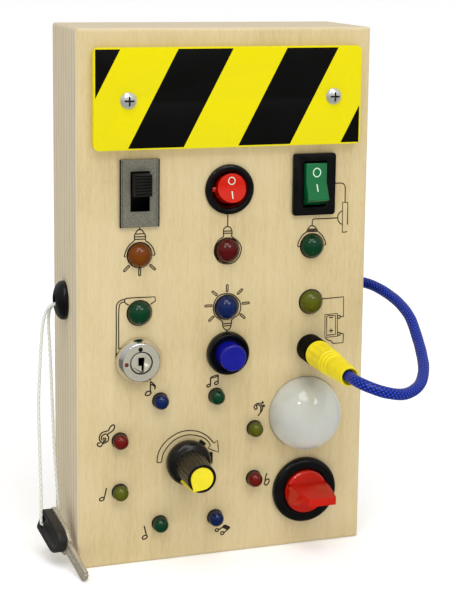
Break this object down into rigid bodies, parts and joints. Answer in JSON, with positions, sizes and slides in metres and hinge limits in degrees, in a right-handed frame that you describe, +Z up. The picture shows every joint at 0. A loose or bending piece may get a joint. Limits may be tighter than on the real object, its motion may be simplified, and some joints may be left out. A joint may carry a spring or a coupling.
{
  "type": "switch and lamp activity board",
  "caption": "Free-standing plywood activity board with slide, rocker, key, push and turning controls, a plug on a captive cord, coloured lamps and a key on a string.",
  "frame": {"origin": "centre of the bottom face, on the surface it stands on", "axes": "+Z up, -Y out of the front panel, +X to the viewer's right when facing the front"},
  "size_m": [0.1767, 0.1218, 0.25],
  "materials": {
    "plywood": "satin, pale",
    "steel": "plain",
    "striped_plate": "gloss with black stripes",
    "dark_grey_plastic": "fine textured",
    "black_plastic": "semi-gloss",
    "red_clear": "clear tinted",
    "green_clear": "clear tinted",
    "brass": "plain",
    "amber_clear": "clear tinted",
    "dark_red_clear": "clear tinted",
    "blue_clear": "clear tinted",
    "olive_clear": "clear tinted",
    "board_green": "satin",
    "chrome": "bright",
    "blue_plastic": "gloss",
    "yellow_plastic": "satin",
    "blue_braid": "braided",
    "milky_plastic": "milky, gloss",
    "lamp_white": "clear",
    "white_string": "twisted",
    "cell_wrap": "gloss"
  },
  "bodies": {
    "board": {"front_panel": "plywood", "frame_layer_1": "plywood", "frame_layer_2": "plywood", "frame_layer_3": "plywood", "frame_layer_4": "plywood", "back_panel": "plywood", "case_screws": "steel", "warning_plate": "striped_plate", "plate_screws": "steel", "slide_plate": "dark_grey_plastic", "slide_housing": "black_plastic", "round_rocker_housing": "black_plastic", "square_rocker_housing": "black_plastic", "switch_terminals": "brass", "led_amber": "amber_clear", "led_red": "dark_red_clear", "led_green": "green_clear", "led_blue": "blue_clear", "led_olive": "olive_clear", "small_leds_blue": "blue_clear", "small_leds_green": "green_clear", "small_leds_olive": "olive_clear", "small_leds_red": "red_clear", "circuit_board": "board_green", "lock_body": "chrome", "lock_nut": "steel", "lock_contact_block": "black_plastic", "button_housing": "black_plastic", "button_nut": "black_plastic", "button_spring": "steel", "jack_socket": "black_plastic", "jack_nut": "black_plastic", "plug_cord": "blue_braid", "cord_gland": "black_plastic", "dome_lens": "milky_plastic", "lamp_board": "board_green", "lamp_led": "lamp_white", "selector_ring": "black_plastic", "selector_nut": "black_plastic", "selector_block": "black_plastic", "dial_resistor": "steel", "dial_nut": "steel", "dial_washer": "black_plastic", "string_boss": "black_plastic", "key_string": "white_string", "key_head": "black_plastic", "key_blade": "steel", "battery_box": "black_plastic", "battery_door": "black_plastic", "batteries": "cell_wrap"},
    "slide_knob": {"slide_knob": "black_plastic"},
    "round_rocker": {"round_rocker": "red_clear"},
    "square_rocker": {"square_rocker": "green_clear"},
    "lock_plug": {"lock_plug": "chrome"},
    "button_cap": {"button_cap": "blue_plastic"},
    "plug": {"plug_grip": "yellow_plastic", "plug_pin": "steel"},
    "selector_knob": {"selector_knob": "red_clear"},
    "dial": {"dial_knob": "black_plastic", "dial_cap": "yellow_plastic"}
  },
  "joints": [
    {"name": "slide_knob_slide", "type": "slide", "parent": "board", "child": "slide_knob", "axis": [0, 0, -1], "range_m": [0, 0.0072]},
    {"name": "round_rocker_rock", "type": "hinge", "parent": "board", "child": "round_rocker", "pos_m": [0.0015, -0.0258, 0.176], "axis": [1, 0, 0], "range_deg": [0, 24]},
    {"name": "square_rocker_rock", "type": "hinge", "parent": "board", "child": "square_rocker", "pos_m": [0.0427, -0.026, 0.177], "axis": [1, 0, 0], "range_deg": [0, 28]},
    {"name": "lock_turn", "type": "hinge", "parent": "board", "child": "lock_plug", "pos_m": [-0.04135, -0.027, 0.0984], "axis": [0, -1, 0], "range_deg": [0, 90]},
    {"name": "button_press", "type": "slide", "parent": "board", "child": "button_cap", "axis": [0, 1, 0], "range_m": [0, 0.0035], "stiffness_N_per_m": 300, "springref_m": -0.002, "deforming": ["button_spring"]},
    {"name": "plug_pull", "type": "slide", "parent": "board", "child": "plug", "axis": [0, -1, 0], "range_m": [0, 0.03], "deforming": ["plug_cord"]},
    {"name": "selector_turn", "type": "hinge", "parent": "board", "child": "selector_knob", "pos_m": [0.0408, -0.027, 0.02785], "axis": [0, -1, 0], "range_deg": [0, 90]},
    {"name": "dial_turn", "type": "hinge", "parent": "board", "child": "dial", "pos_m": [-0.0178, -0.027, 0.0478], "axis": [0, 1, 0], "range_deg": [0, 290]}
  ]
}
